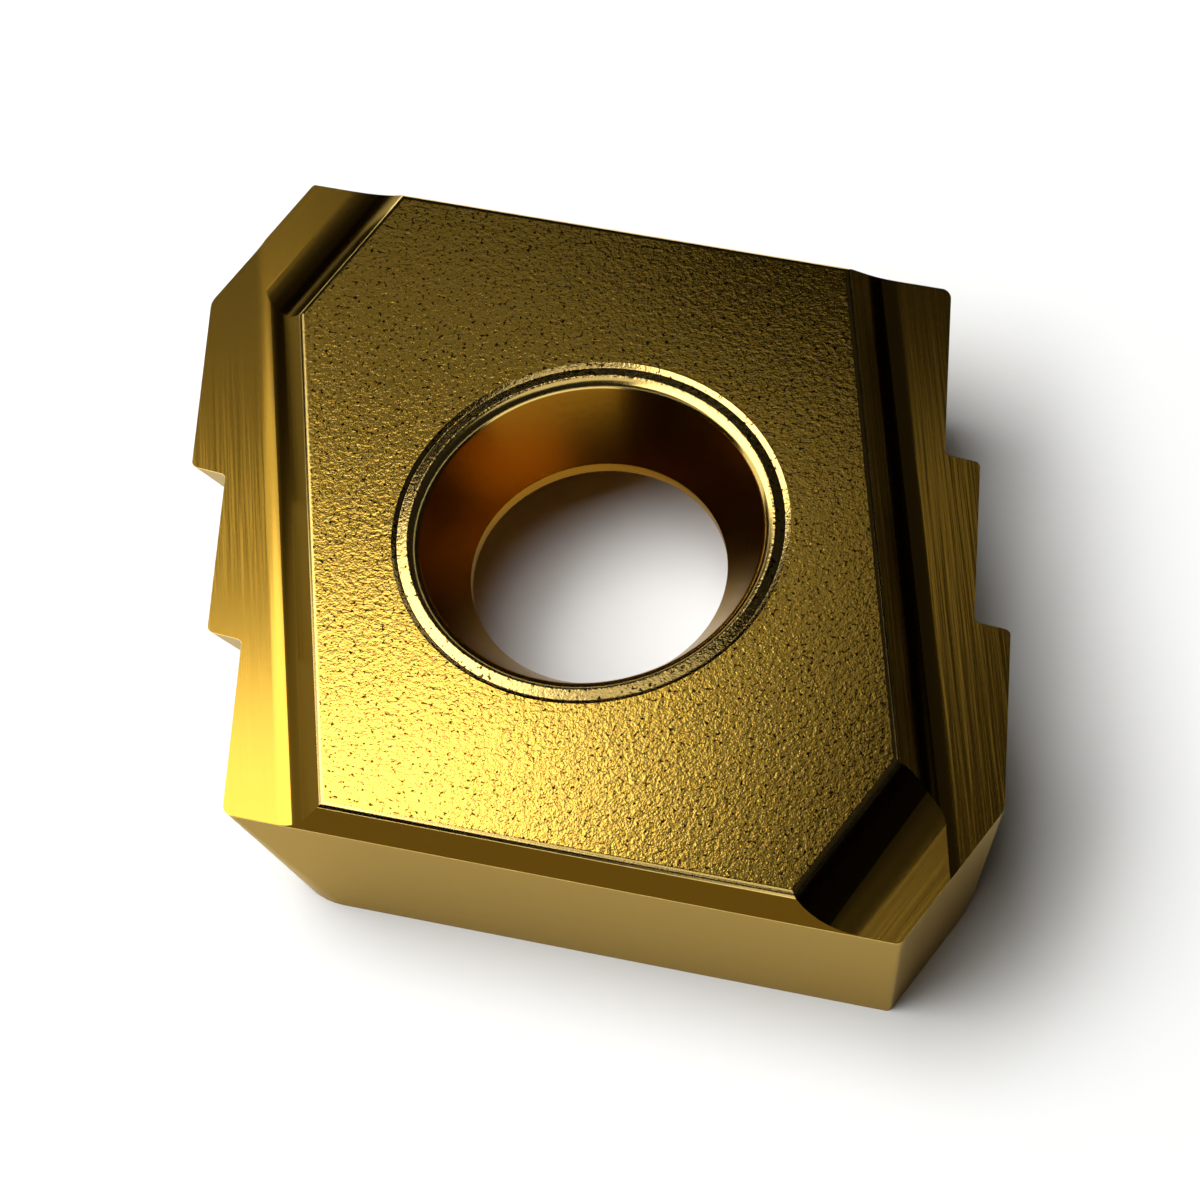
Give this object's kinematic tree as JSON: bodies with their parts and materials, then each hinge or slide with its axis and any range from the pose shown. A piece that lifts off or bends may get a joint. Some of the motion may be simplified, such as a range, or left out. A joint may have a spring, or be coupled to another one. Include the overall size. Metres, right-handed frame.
{
  "type": "carbide insert",
  "caption": "Indexable carbide cutting insert with stepped edges on opposite sides, cut corners, ground chip grooves, a raised centre pad and a countersunk clamp screw hole.",
  "frame": {"origin": "centre of the clamp screw hole, in the seating face", "axes": "+Z from the seating face to the cutting face along the hole; +X along the two straight flanks; +Y across them"},
  "size_m": [0.0206, 0.0162, 0.0051],
  "materials": {
    "gold_coated_carbide": "thin gold nitride coating on sintered and ground carbide, satin with a fine grain"
  },
  "bodies": {
    "root": {"insert": "gold_coated_carbide"}
  },
  "joints": []
}
